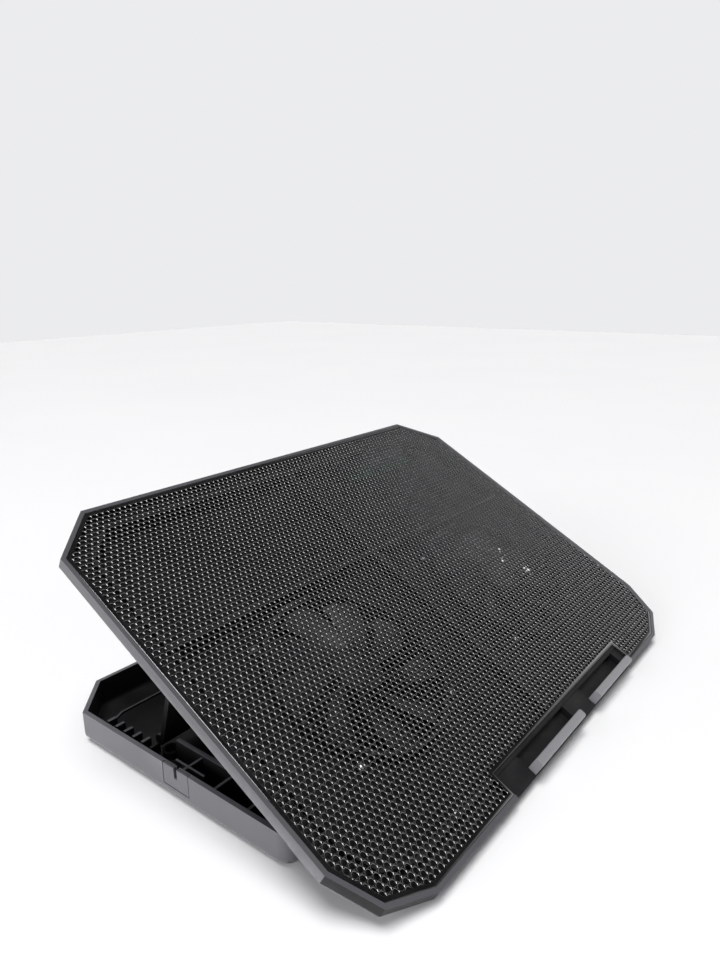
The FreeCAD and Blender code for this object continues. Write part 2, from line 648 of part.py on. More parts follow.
def base_tray():
    """Tray with racks, bays, hinge ears, foot recesses and guide windows."""
    body = tray_body()
    inside = [box(-142.0, 142.0, 103.6, 105.0, FLOOR_TOP - 0.5, FLOOR_TOP + FLOOR_RIB_H)]
    for side in (-1, 1):
        inside += rack(side)
        inside += side_bays(side)
        inside += hinge_ears(side)
    tray = join([body.cut(tray_room())] + [piece.common(body) for piece in inside])
    for side in (-1, 1):
        room = LUG_T / 2 + SIDE_GAP
        tray = tray.cut(box(side * LUG_X - room, side * LUG_X + room, TRAY_FRONT - 1, HINGE_Y,
                            5.0, TRAY_TOP + 1))
        tray = tray.cut(rod(HINGE_PIN_R, (side * LUG_X - 20, HINGE_Y, HINGE_Z), (1, 0, 0), 40))
        tray = tray.cut(guide_window(side, GUIDE_GAP))
        middle = (GUIDE_Y[0] + GUIDE_Y[1]) / 2
        slot = box(150, TRAY_W / 2 + 1, middle - NOTCH_W / 2, middle + NOTCH_W / 2,
                   TRAY_TOP - NOTCH_H, TRAY_TOP + 1).common(box(163, 170, -60, 120, 0, 30))
        tray = tray.cut(slot if side > 0 else mirrored(slot))
        for y in foot_rows():
            tray = tray.cut(rod(7.1, (side * foot_x(), y, 0), (0, 0, 1), TRAY_BOTTOM + 0.6))
    return tray.removeSplitter()


def foot_rows():
    """Y of the front and rear rubber feet."""
    return (TRAY_FRONT + 22.0, TRAY_REAR - 34.0)


def foot_x():
    """Distance of the rubber feet from the middle."""
    return TRAY_W / 2 - 26.0


def base_foot(side, y):
    """Round rubber foot let into the tray's underside."""
    foot = rod(7.0, (side * foot_x(), y, 0), (0, 0, 1), TRAY_BOTTOM + 0.6)
    rim = [e for e in foot.Edges if e.BoundBox.ZMax < 0.01]
    return foot.makeFillet(0.3, rim)


def hinge_pin(side):
    """Steel pin through two base ears and one lug."""
    length = LUG_T + 2 * SIDE_GAP + 2 * EAR_T
    return rod(HINGE_PIN_R, (side * LUG_X - length / 2, HINGE_Y, HINGE_Z), (1, 0, 0), length)


def main():
    """Build and write every node."""
    outline = panel_outline()
    save("pad_frame", panel_place(panel_frame(outline)))
    save("mesh_panel", panel_place(mesh_panel(outline)))
    save("back_cover", panel_place(back_cover(outline)))
    save("cover_screws", panel_place(cover_screws()))
    save("fan_screws", panel_place(fan_screws()))
    save("hub_board", panel_place(hub_board()))
    save("usb_socket_left", panel_place(usb_socket(SOCKET_X[0])))
    save("usb_socket_right", panel_place(usb_socket(SOCKET_X[1])))
    save("power_inlet", panel_place(power_inlet()))
    save("speed_wheel", panel_place(speed_wheel()))
    save("support_flap", flap_place(support_flap()))
    save("base_tray", base_tray())
    for name, (x0, x1) in STOP_SPANS.items():
        save(f"laptop_stop_{name}", panel_place(laptop_stop(x0, x1)))
        save(f"stop_pin_{name}", panel_place(stop_pin(x0, x1)))
    for name, side in (("left", -1), ("right", 1)):
        save(f"fan_frame_{name}", panel_place(fan_frame(side)))
        save(f"fan_rotor_{name}", panel_place(fan_rotor(side)))
        save(f"fan_bearing_{name}", panel_place(fan_bearing(side)))
        save(f"fan_grille_{name}", panel_place(fan_grille(side)))
        save(f"pad_foot_{name}", panel_place(pad_foot(side)))
        save(f"flap_pin_{name}", flap_place(flap_pin(side)))
        save(f"hinge_pin_{name}", hinge_pin(side))
        save(f"cable_guide_{name}", cable_guide(side))
        for end, y in zip(("front", "rear"), foot_rows()):
            save(f"base_foot_{end}_{name}", base_foot(side, y))


main()
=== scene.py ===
"""Studio scene of a tilting laptop cooling pad, built round its packed mechanical model."""

import logging
import math
from dataclasses import dataclass, field
from enum import Enum

import bmesh
import bpy
from mathutils import Euler, Matrix, Vector


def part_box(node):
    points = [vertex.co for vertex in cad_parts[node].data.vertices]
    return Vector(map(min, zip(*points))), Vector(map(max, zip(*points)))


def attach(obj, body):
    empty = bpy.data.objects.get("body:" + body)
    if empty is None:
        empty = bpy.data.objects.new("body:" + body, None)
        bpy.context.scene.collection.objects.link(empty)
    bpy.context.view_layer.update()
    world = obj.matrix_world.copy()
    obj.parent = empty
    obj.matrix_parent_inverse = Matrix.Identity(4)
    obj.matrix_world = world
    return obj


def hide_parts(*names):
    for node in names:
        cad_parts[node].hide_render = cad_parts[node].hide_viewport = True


LOG = logging.getLogger("cooling_pad")
MM = 0.001
# Pointiness range of rubbed edges, which also carry a painted edge highlight.
WEAR_AND_HIGHLIGHT_FROM, WEAR_AND_HIGHLIGHT_TO = 0.62, 0.71
# Colour of settled dust, also a painted sheen on faces that look up.
DUST_AND_SHEEN_COLOUR = (0.42, 0.41, 0.40, 1.0)
Point2 = tuple[float, float]

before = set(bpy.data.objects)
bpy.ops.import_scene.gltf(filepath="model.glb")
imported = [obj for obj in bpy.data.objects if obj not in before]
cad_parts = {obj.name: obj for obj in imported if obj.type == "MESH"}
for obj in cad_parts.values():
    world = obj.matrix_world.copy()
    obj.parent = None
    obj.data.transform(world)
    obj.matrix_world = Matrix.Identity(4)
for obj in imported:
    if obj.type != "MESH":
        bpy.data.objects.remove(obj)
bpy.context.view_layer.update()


# ------------------------------------------------------------------ the panel's own frame

@dataclass(frozen=True)
class PanelFrame:
    """Turns panel coordinates (x, s up the slope, n above the rim) in millimetres into the row frame."""

    tilt_deg: float = 28.5
    hinge_y: float = -53.8
    hinge_z: float = 12.4
    hinge_s: float = 62.3
    hinge_n: float = -27.95

    def matrix(self) -> Matrix:
        """Millimetres in the panel frame to metres in the row frame."""
        back = Matrix.Translation((0, -self.hinge_s, -self.hinge_n))
        turn = Matrix.Rotation(math.radians(self.tilt_deg), 4, "X")
        out = Matrix.Translation((0, self.hinge_y, self.hinge_z))
        return Matrix.Scale(MM, 4) @ out @ turn @ back


PANEL = PanelFrame()


# ------------------------------------------------------------------ shader building

class Nodes:
    """Short-hand for wiring a node tree."""

    def __init__(self, tree: bpy.types.NodeTree) -> None:
        """Args: tree: the tree to add to."""
        self.tree = tree

    def add(self, kind: str, **inputs: object) -> bpy.types.Node:
        """Add a node and set or link its inputs.

        Args:
            kind: node type name.
            inputs: socket names, spaces as underscores; a socket value is linked.

        Returns:
            The new node.
        """
        node = self.tree.nodes.new(kind)
        for name, value in inputs.items():
            self.feed(node.inputs[name.replace("_", " ")], value)
        return node

    def feed(self, socket: bpy.types.NodeSocket, value: object) -> None:
        """Set a socket, or link it if value is itself a socket."""
        if isinstance(value, bpy.types.NodeSocket):
            self.tree.links.new(value, socket)
        else:
            socket.default_value = value

    def math(self, operation: str, a: object, b: object = 0.0, clamp: bool = False) -> bpy.types.NodeSocket:
        """One Math node; returns its value."""
        node = self.tree.nodes.new("ShaderNodeMath")
        node.operation = operation
        node.use_clamp = clamp
        self.feed(node.inputs[0], a)
        self.feed(node.inputs[1], b)
        return node.outputs[0]

    def ramp(self, value: object, low: float, high: float, start: float = 0.0,
             end: float = 1.0) -> bpy.types.NodeSocket:
        """Map Range from low..high to start..end, clamped; returns its value."""
        node = self.tree.nodes.new("ShaderNodeMapRange")
        self.feed(node.inputs["Value"], value)
        node.inputs["From Min"].default_value = low
        node.inputs["From Max"].default_value = high
        node.inputs["To Min"].default_value = start
        node.inputs["To Max"].default_value = end
        return node.outputs["Result"]

    def noise(self, vector: object, scale: object, detail: float = 2.0, roughness: float = 0.5,
              ) -> bpy.types.NodeSocket:
        """Noise texture; returns its factor."""
        node = self.add("ShaderNodeTexNoise", Vector=vector, Scale=scale, Detail=detail, Roughness=roughness)
        return node.outputs[0]

    def mix(self, factor: object, a: object, b: object) -> bpy.types.NodeSocket:
        """Mix two colours; returns the colour."""
        node = self.tree.nodes.new("ShaderNodeMix")
        node.data_type = "RGBA"
        self.feed(node.inputs[0], factor)
        self.feed(node.inputs[6], a)
        self.feed(node.inputs[7], b)
        return node.outputs[2]


def new_group(name: str, numbers: dict[str, float], outputs: tuple[str, ...],
              ) -> tuple[bpy.types.NodeTree, Nodes, dict[str, bpy.types.NodeSocket], bpy.types.Node]:
    """Start a shader group with float inputs.

    Args:
        name: the group's name.
        numbers: float inputs and their defaults.
        outputs: float output names.

    Returns:
        The tree, its wiring helper, the input sockets by name and the output node.
    """
    tree = bpy.data.node_groups.new(name, "ShaderNodeTree")
    for key, value in numbers.items():
        socket = tree.interface.new_socket(key, in_out="INPUT", socket_type="NodeSocketFloat")
        socket.default_value = value
    for key in outputs:
        tree.interface.new_socket(key, in_out="OUTPUT", socket_type="NodeSocketFloat")
    inside = tree.nodes.new("NodeGroupInput")
    out = tree.nodes.new("NodeGroupOutput")
    return tree, Nodes(tree), {s.name: s for s in inside.outputs if s.name}, out


def moulded_grain_group() -> bpy.types.NodeTree:
    """Spark-eroded mould grain: fine height, a roughness shift and a slow tone drift."""
    tree, wire, given, out = new_group(
        "moulded_grain", {"Grain Size": 2600.0, "Grain Depth": 1.0, "Drift": 1.0},
        ("Height", "Roughness Shift", "Tone"))
    place = wire.add("ShaderNodeTexCoord").outputs["Object"]
    fine = wire.noise(place, given["Grain Size"], 3.0, 0.6)
    cells = wire.add("ShaderNodeTexVoronoi", Vector=place, Scale=given["Grain Size"])
    both = wire.math("ADD", fine, wire.math("MULTIPLY", cells.outputs["Distance"], 0.5))
    wire.feed(out.inputs["Height"], wire.math("MULTIPLY", both, given["Grain Depth"]))
    slow = wire.noise(place, 18.0, 4.0, 0.55)
    middle = wire.math("SUBTRACT", slow, 0.5)
    wire.feed(out.inputs["Tone"], wire.math("MULTIPLY", middle, given["Drift"]))
    wire.feed(out.inputs["Roughness Shift"], wire.math("MULTIPLY", wire.math("SUBTRACT", fine, 0.5), 0.12))
    return tree


def edge_wear_and_highlight_group() -> bpy.types.NodeTree:
    """Rubbed edges with a painted edge highlight: lighter where the surface is sharply convex, broken up by
    noise.
    """
    tree, wire, given, out = new_group(
        "edge_wear_and_highlight", {"Reach": 0.55, "Amount": 1.0}, ("Wear And Highlight",))
    place = wire.add("ShaderNodeTexCoord").outputs["Object"]
    sharp = wire.add("ShaderNodeNewGeometry").outputs["Pointiness"]
    edge = wire.ramp(sharp, WEAR_AND_HIGHLIGHT_FROM, WEAR_AND_HIGHLIGHT_TO)
    broken = wire.ramp(wire.noise(place, 160.0, 5.0, 0.7), 0.35, 0.75)
    rubbed_and_lit = wire.math("MULTIPLY", edge, wire.math("ADD", wire.math("MULTIPLY", broken, 0.7), 0.3))
    rubbed_and_lit = wire.math("MULTIPLY", rubbed_and_lit, given["Amount"])
    wire.feed(out.inputs["Wear And Highlight"], wire.math("MINIMUM", rubbed_and_lit, given["Reach"]))
    return tree


def settled_dust_and_sheen_group() -> bpy.types.NodeTree:
    """A thin film of dust on faces that look up, which also paints them lighter as a sheen of light falling
    from above.
    """
    tree, wire, given, out = new_group("settled_dust_and_sheen", {"Amount": 0.12}, ("Dust And Sheen",))
    place = wire.add("ShaderNodeTexCoord").outputs["Object"]
    normal = wire.add("ShaderNodeNewGeometry").outputs["Normal"]
    split = wire.add("ShaderNodeSeparateXYZ", Vector=normal)
    up = wire.ramp(split.outputs["Z"], 0.35, 0.95)
    clouds = wire.ramp(wire.noise(place, 42.0, 6.0, 0.65), 0.42, 0.72)
    specks = wire.ramp(wire.noise(place, 900.0, 2.0, 0.5), 0.66, 0.74)
    film = wire.math("MAXIMUM", clouds, specks)
    wire.feed(out.inputs["Dust And Sheen"], wire.math("MULTIPLY", wire.math("MULTIPLY", up, film), given["Amount"]))
    return tree


class Effects:
    """The shader groups that materials share, each built once."""

    def __init__(self) -> None:
        """Build the three groups."""
        self.grain = moulded_grain_group()
        self.wear_and_highlight = edge_wear_and_highlight_group()
        self.dust_and_sheen = settled_dust_and_sheen_group()


Colour = tuple[float, float, float]


@dataclass(frozen=True)
class Finish:
    """One finish: colours, gloss and how strongly each shared effect shows."""

    name: str
    colour: Colour
    # Colour of rubbed edges, also a painted highlight along sharp edges.
    worn_and_highlight: Colour
    roughness: float
    metallic: float = 0.0
    coat: float = 0.0
    coat_roughness: float = 0.1
    coat_ior: float = 1.5
    specular: float = 0.5
    grain_scale: float = 2600.0
    grain_depth: float = 1.0
    bump: float = 0.12
    drift: float = 0.5
    wear_and_highlight: float = 0.6
    dust_and_sheen: float = 0.06
    brushed: float = 0.0

    def build(self, effects: Effects) -> bpy.types.Material:
        """Make the material.

        Args:
            effects: the shared shader groups.

        Returns:
            The finished material.
        """
        material = bpy.data.materials.new(self.name)
        material.use_nodes = True
        tree = material.node_tree
        wire = Nodes(tree)
        shader = tree.nodes["Principled BSDF"]
        grain = self._place(tree, effects.grain, {"Grain Size": self.grain_scale,
                                                  "Grain Depth": self.grain_depth, "Drift": self.drift})
        wear_and_highlight = self._place(tree, effects.wear_and_highlight, {"Reach": 0.85, "Amount": self.wear_and_highlight})
        dust_and_sheen = self._place(tree, effects.dust_and_sheen, {"Amount": self.dust_and_sheen})
        light = tuple(min(1.0, c * 1.35 + 0.004) for c in self.colour)
        dark = tuple(c * 0.72 for c in self.colour)
        tone = wire.math("ADD", grain.outputs["Tone"], 0.5, clamp=True)
        base = wire.mix(tone, (*dark, 1.0), (*light, 1.0))
        # Rubbed edges mixed in, partly wear and partly a painted highlight along sharp edges.
        base = wire.mix(wear_and_highlight.outputs["Wear And Highlight"], base, (*self.worn_and_highlight, 1.0))
        # Dust film, also a painted sheen that lightens faces that look up.
        base = wire.mix(dust_and_sheen.outputs["Dust And Sheen"], base, DUST_AND_SHEEN_COLOUR)
        wire.feed(shader.inputs["Base Color"], base)
        rough = wire.math("ADD", grain.outputs["Roughness Shift"], self.roughness)
        rough = wire.math("ADD", rough, wire.math("MULTIPLY", dust_and_sheen.outputs["Dust And Sheen"], 0.5), clamp=True)
        height = grain.outputs["Height"]
        if self.brushed:
            place = wire.add("ShaderNodeTexCoord").outputs["Object"]
            stretched = wire.add("ShaderNodeMapping", Vector=place)
            stretched.inputs["Scale"].default_value = (30.0, 3000.0, 3000.0)
            lines = wire.noise(stretched.outputs["Vector"], 1.0, 2.0, 0.6)
            rough = wire.math("ADD", rough, wire.math("MULTIPLY", lines, self.brushed), clamp=True)
            height = wire.math("ADD", height, lines)
        wire.feed(shader.inputs["Roughness"], rough)
        shader.inputs["Metallic"].default_value = self.metallic
        shader.inputs["Coat Weight"].default_value = self.coat
        shader.inputs["Coat Roughness"].default_value = self.coat_roughness
        shader.inputs["Coat IOR"].default_value = self.coat_ior
        shader.inputs["Specular IOR Level"].default_value = self.specular
        bump = wire.add("ShaderNodeBump", Strength=self.bump, Distance=0.0002, Height=height)
        wire.feed(shader.inputs["Normal"], bump.outputs["Normal"])
        return material

    @staticmethod
    def _place(tree: bpy.types.NodeTree, group: bpy.types.NodeTree,
               values: dict[str, float]) -> bpy.types.Node:
        """Put one shared group in a material with its own values."""
        node = tree.nodes.new("ShaderNodeGroup")
        node.node_tree = group
        for key, value in values.items():
            node.inputs[key].default_value = value
        return node


class Coat(Enum):
    """Every finish on the object."""

    RIM = Finish("rim_satin_charcoal", (0.074, 0.073, 0.081), (0.34, 0.34, 0.36), 0.36, coat=0.4,
                 coat_roughness=0.28, grain_scale=3200.0, bump=0.10, drift=0.35, wear_and_highlight=0.55, dust_and_sheen=0.03)
    TRAY = Finish("tray_satin_charcoal", (0.086, 0.085, 0.096), (0.33, 0.33, 0.35), 0.38, coat=0.4,
                  coat_roughness=0.32, grain_scale=2800.0, bump=0.14, drift=0.4, wear_and_highlight=0.45, dust_and_sheen=0.08)
    # Black plastic; also laid on the tray's and frame's inside faces and the flap's side faces as painted
    # shade.
    BLACK_AND_SHADE = Finish("fine_grain_black_and_shade", (0.005, 0.005, 0.0058), (0.06, 0.06, 0.065), 0.46, specular=0.26,
                   grain_scale=2200.0, bump=0.22, drift=0.6, wear_and_highlight=0.45, dust_and_sheen=0.035)
    FLAP = Finish("flap_black", (0.009, 0.009, 0.010), (0.22, 0.22, 0.225), 0.44,
                  grain_scale=2400.0, bump=0.16, drift=0.6, wear_and_highlight=1.0, dust_and_sheen=0.08)
    ENAMEL = Finish("mesh_gloss_enamel", (0.0025, 0.0025, 0.003), (0.08, 0.08, 0.08), 0.10, coat=1.0,
                    coat_roughness=0.05, grain_scale=900.0, grain_depth=0.5, bump=0.05, drift=0.6,
                    wear_and_highlight=0.15, dust_and_sheen=0.03, specular=1.0, coat_ior=1.8)
    STOP = Finish("stop_satin_grey", (0.22, 0.22, 0.232), (0.5, 0.5, 0.51), 0.38, coat=0.2,
                  coat_roughness=0.3, grain_scale=3000.0, bump=0.10, drift=0.4, wear_and_highlight=0.4, dust_and_sheen=0.04)
    FAN = Finish("fan_smooth_black", (0.010, 0.010, 0.0115), (0.06, 0.06, 0.065), 0.42, specular=0.35,
                 grain_scale=1500.0, bump=0.05, drift=0.5, wear_and_highlight=0.25, dust_and_sheen=0.16)
    STEEL = Finish("zinc_steel", (0.55, 0.55, 0.57), (0.75, 0.75, 0.76), 0.30, metallic=1.0,
                   grain_scale=1800.0, bump=0.08, drift=0.5, wear_and_highlight=0.4, dust_and_sheen=0.04, brushed=0.14)
    NICKEL = Finish("nickel_shell", (0.36, 0.355, 0.34), (0.6, 0.59, 0.57), 0.34, metallic=1.0,
                    grain_scale=1200.0, bump=0.05, drift=0.4, wear_and_highlight=0.3, dust_and_sheen=0.03, brushed=0.06)
    BRASS = Finish("sintered_bearing", (0.46, 0.31, 0.12), (0.7, 0.52, 0.25), 0.42, metallic=1.0,
                   grain_scale=4200.0, bump=0.30, drift=0.7, wear_and_highlight=0.3, dust_and_sheen=0.02)
    RUBBER = Finish("matt_rubber", (0.018, 0.018, 0.018), (0.07, 0.07, 0.07), 0.82, specular=0.25,
                    grain_scale=1500.0, bump=0.35, drift=0.7, wear_and_highlight=0.4, dust_and_sheen=0.20)
    BOARD = Finish("solder_mask", (0.012, 0.085, 0.035), (0.25, 0.30, 0.16), 0.30, coat=0.3,
                   grain_scale=700.0, bump=0.12, drift=0.9, wear_and_highlight=0.5, dust_and_sheen=0.05)


# ------------------------------------------------------------------ mesh helpers

def link(obj: bpy.types.Object) -> bpy.types.Object:
    """Put an object in the scene."""
    bpy.context.scene.collection.objects.link(obj)
    return obj


def drop(obj: bpy.types.Object) -> None:
    """Remove a scratch object."""
    bpy.data.objects.remove(obj, do_unlink=True)


def baked(obj: bpy.types.Object, name: str) -> bpy.types.Object:
    """A plain mesh object from an object with live modifiers, which is removed.

    Args:
        obj: the object with modifiers.
        name: the plain object's name.

    Returns:
        The plain object.
    """
    graph = bpy.context.evaluated_depsgraph_get()
    graph.update()
    mesh = bpy.data.meshes.new_from_object(obj.evaluated_get(graph))
    result = link(bpy.data.objects.new(name, mesh))
    drop(obj)
    return result


def mesh_object(name: str, build: bmesh.types.BMesh) -> bpy.types.Object:
    """A linked object from a bmesh, which is freed."""
    mesh = bpy.data.meshes.new(name)
    build.to_mesh(mesh)
    build.free()
    return link(bpy.data.objects.new(name, mesh))


def dress(obj: bpy.types.Object, material: bpy.types.Material) -> None:
    """Give an object one material."""
    obj.data.materials.clear()
    obj.data.materials.append(material)


def smooth_by_angle(obj: bpy.types.Object, angle_deg: float = 32.0) -> None:
    """Shade smooth, with edges sharper than the angle kept hard."""
    build = bmesh.new()
    build.from_mesh(obj.data)
    limit = math.radians(angle_deg)
    for face in build.faces:
        face.smooth = True
    for edge in build.edges:
        edge.smooth = len(edge.link_faces) == 2 and edge.calc_face_angle(0.0) < limit
    build.to_mesh(obj.data)
    build.free()


def eased_copy(node: str, name: str, width_mm: float, segments: int = 2) -> bpy.types.Object:
    """A copy of a CAD node with its sharp edges rounded.

    Args:
        node: the CAD node.
        name: the new piece's name.
        width_mm: width of the rounding.
        segments: steps across it.

    Returns:
        The new piece, a plain mesh.
    """
    build = bmesh.new()
    build.from_mesh(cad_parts[node].data)
    bmesh.ops.remove_doubles(build, verts=build.verts, dist=1e-6)
    bmesh.ops.dissolve_limit(build, angle_limit=math.radians(1.0), verts=build.verts, edges=build.edges)
    piece = mesh_object(name + "_raw", build)
    bevel = piece.modifiers.new("ease", "BEVEL")
    bevel.width = width_mm * MM
    bevel.segments = segments
    bevel.limit_method = "ANGLE"
    bevel.angle_limit = math.radians(35.0)
    bevel.use_clamp_overlap = True
    rounded = baked(piece, name + "_rounded")
    smooth_by_angle(rounded, 38.0)
    flat = rounded.modifiers.new("keep large faces flat", "WEIGHTED_NORMAL")
    flat.keep_sharp = True
    return baked(rounded, name)


def offset_loop(points: list[Point2], inset: float) -> list[Point2]:
    """Move every side of a counter-clockwise outline inwards.

    Args:
        points: the outline's corners.
        inset: how far to move in.

    Returns:
        The corners of the inner outline.
    """
    moved = []
    count = len(points)
    for i in range(count):
        before, here, after = (Vector(points[(i + k) % count]) for k in (-1, 0, 1))
        run_in = (here - before).normalized()
        run_out = (after - here).normalized()
        side_in = Vector((-run_in.y, run_in.x))
        side_out = Vector((-run_out.y, run_out.x))
        corner = (side_in + side_out) / (1.0 + side_in.dot(side_out))
        moved.append(tuple(here + corner * inset))
    return moved


def band_mesh(build: bmesh.types.BMesh, outer: list[Point2], inner: list[Point2], low: float,
              high: float) -> None:
    """Add a closed flat band between two loops with the same number of corners.

    Args:
        build: the mesh to add to.
        outer: outer corners.
        inner: inner corners.
        low: underside height.
        high: top height.
    """
    rings = [[build.verts.new((x, y, z)) for x, y in loop]
             for loop, z in ((outer, low), (outer, high), (inner, high), (inner, low))]
    count = len(outer)
    for a, b in zip(rings, rings[1:] + rings[:1]):
        for i in range(count):
            j = (i + 1) % count
            build.faces.new((a[i], a[j], b[j], b[i]))


# ------------------------------------------------------------------ geometry nodes

class GeometryTree:
    """A geometry node tree with named inputs, applied as a modifier."""

    def __init__(self, name: str, sockets: dict[str, str]) -> None:
        """Args: name: the tree's name; sockets: input names and their socket types."""
        self.tree = bpy.data.node_groups.new(name, "GeometryNodeTree")
        self.tree.interface.new_socket("Geometry", in_out="INPUT", socket_type="NodeSocketGeometry")
        self.identifiers = {}
        for key, kind in sockets.items():
            socket = self.tree.interface.new_socket(key, in_out="INPUT", socket_type=kind)
            self.identifiers[key] = socket.identifier
        self.tree.interface.new_socket("Geometry", in_out="OUTPUT", socket_type="NodeSocketGeometry")
        self.wire = Nodes(self.tree)
        self.given = {s.name: s for s in self.tree.nodes.new("NodeGroupInput").outputs if s.name}
        self.out = self.tree.nodes.new("NodeGroupOutput")

    def finish(self, instances: bpy.types.NodeSocket, weld: float = 0.0) -> None:
        """Realize the instances, weld them if asked, set the material and end the tree."""
        real = self.wire.add("GeometryNodeRealizeInstances", Geometry=instances).outputs[0]
        if weld:
            real = self.wire.add("GeometryNodeMergeByDistance", Geometry=real, Distance=weld).outputs[0]
        done = self.wire.add("GeometryNodeSetMaterial", Geometry=real, Material=self.given["Material"])
        self.wire.feed(self.out.inputs[0], done.outputs[0])

    def apply(self, obj: bpy.types.Object, name: str, values: dict[str, object]) -> bpy.types.Object:
        """Run the tree on an object.

        Args:
            obj: the object that the tree starts from; it is removed.
            name: the result's name.
            values: input values by name.

        Returns:
            The result as a plain mesh object.
        """
        modifier = obj.modifiers.new("build", "NODES")
        modifier.node_group = self.tree
        for key, value in values.items():
            modifier[self.identifiers[key]] = value
        return baked(obj, name)


def perforation_tree() -> GeometryTree:
    """Staggered rows of tiles, kept where they stand over the outline and inside one strip."""
    tree = GeometryTree("perforated_strip", {
        "Tile": "NodeSocketObject", "Pitch": "NodeSocketFloat", "Row Pitch": "NodeSocketFloat",
        "Columns": "NodeSocketInt", "Rows": "NodeSocketInt", "Centre": "NodeSocketVector",
        "From X": "NodeSocketFloat", "To X": "NodeSocketFloat", "Material": "NodeSocketMaterial"})
    wire, given = tree.wire, tree.given
    width = wire.math("MULTIPLY", given["Pitch"], wire.math("SUBTRACT", given["Columns"], 1.0))
    depth = wire.math("MULTIPLY", given["Row Pitch"], wire.math("SUBTRACT", given["Rows"], 1.0))
    grid = wire.add("GeometryNodeMeshGrid", Size_X=width, Size_Y=depth, Vertices_X=given["Columns"],
                    Vertices_Y=given["Rows"])
    place = wire.add("GeometryNodeInputPosition").outputs[0]
    split = wire.add("ShaderNodeSeparateXYZ", Vector=place)
    height = wire.math("ADD", split.outputs["Y"], wire.math("MULTIPLY", depth, 0.5))
    row = wire.math("ROUND", wire.math("DIVIDE", height, given["Row Pitch"]))
    odd = wire.math("MODULO", row, 2.0)
    half_pitch = wire.math("MULTIPLY", given["Pitch"], 0.5)
    shift = wire.add("ShaderNodeCombineXYZ", X=wire.math("MULTIPLY", odd, half_pitch))
    moved = wire.tree.nodes.new("ShaderNodeVectorMath")
    wire.feed(moved.inputs[0], shift.outputs[0])
    wire.feed(moved.inputs[1], given["Centre"])
    stagger = wire.add("GeometryNodeSetPosition", Geometry=grid.outputs[0], Offset=moved.outputs[0])
    lifted = wire.tree.nodes.new("ShaderNodeVectorMath")
    wire.feed(lifted.inputs[0], wire.add("GeometryNodeInputPosition").outputs[0])
    lifted.inputs[1].default_value = (0.0, 0.0, 50.0)
    ray = wire.add("GeometryNodeRaycast", Target_Geometry=given["Geometry"],
                   Source_Position=lifted.outputs[0], Ray_Direction=(0.0, 0.0, -1.0), Ray_Length=100.0)
    here = wire.add("ShaderNodeSeparateXYZ", Vector=wire.add("GeometryNodeInputPosition").outputs[0])
    after = wire.math("GREATER_THAN", here.outputs["X"], given["From X"])
    before = wire.math("LESS_THAN", here.outputs["X"], given["To X"])
    keep = wire.math("MULTIPLY", wire.math("MULTIPLY", after, before), ray.outputs["Is Hit"])
    gone = wire.add("GeometryNodeDeleteGeometry", Geometry=stagger.outputs[0],
                    Selection=wire.math("LESS_THAN", keep, 0.5))
    tile = wire.add("GeometryNodeObjectInfo", Object=given["Tile"])
    copies = wire.add("GeometryNodeInstanceOnPoints", Points=gone.outputs[0],
                      Instance=tile.outputs["Geometry"])
    tree.finish(copies.outputs[0], weld=0.001)
    return tree


def turned_copies_tree() -> GeometryTree:
    """Copies of one object turned about Z in equal steps, joined to the starting mesh."""
    tree = GeometryTree("turned_copies", {"Copy": "NodeSocketObject", "Count": "NodeSocketInt",
                                          "Material": "NodeSocketMaterial"})
    wire, given = tree.wire, tree.given
    line = wire.add("GeometryNodeMeshLine", Count=given["Count"], Offset=(0.0, 0.0, 0.0))
    step = wire.math("DIVIDE", 2 * math.pi, given["Count"])
    index = wire.add("GeometryNodeInputIndex").outputs[0]
    turn = wire.add("ShaderNodeCombineXYZ", Z=wire.math("MULTIPLY", step, index))
    item = wire.add("GeometryNodeObjectInfo", Object=given["Copy"])
    copies = wire.add("GeometryNodeInstanceOnPoints", Points=line.outputs[0],
                      Instance=item.outputs["Geometry"], Rotation=turn.outputs[0])
    both = wire.add("GeometryNodeJoinGeometry")
    wire.feed(both.inputs[0], copies.outputs[0])
    wire.feed(both.inputs[0], given["Geometry"])
    tree.finish(both.outputs[0])
    return tree


def placed_copies_tree() -> GeometryTree:
    """One copy of an object on every vertex, turned by a seeded random amount about Z."""
    tree = GeometryTree("placed_copies", {"Copy": "NodeSocketObject", "Seed": "NodeSocketInt",
                                          "Material": "NodeSocketMaterial"})
    wire, given = tree.wire, tree.given
    item = wire.add("GeometryNodeObjectInfo", Object=given["Copy"])
    chance = wire.tree.nodes.new("FunctionNodeRandomValue")
    chance.data_type = "FLOAT"
    chance.inputs[2].default_value = 0.0
    chance.inputs[3].default_value = math.pi
    wire.feed(chance.inputs["Seed"], given["Seed"])
    turn = wire.add("ShaderNodeCombineXYZ", Z=chance.outputs[1])
    copies = wire.add("GeometryNodeInstanceOnPoints", Points=given["Geometry"],
                      Instance=item.outputs["Geometry"], Rotation=turn.outputs[0])
    tree.finish(copies.outputs[0])
    return tree


def points_object(places: list[tuple[float, float, float]]) -> bpy.types.Object:
    """A mesh of loose vertices."""
    build = bmesh.new()
    for place in places:
        build.verts.new(place)
    return mesh_object("points", build)


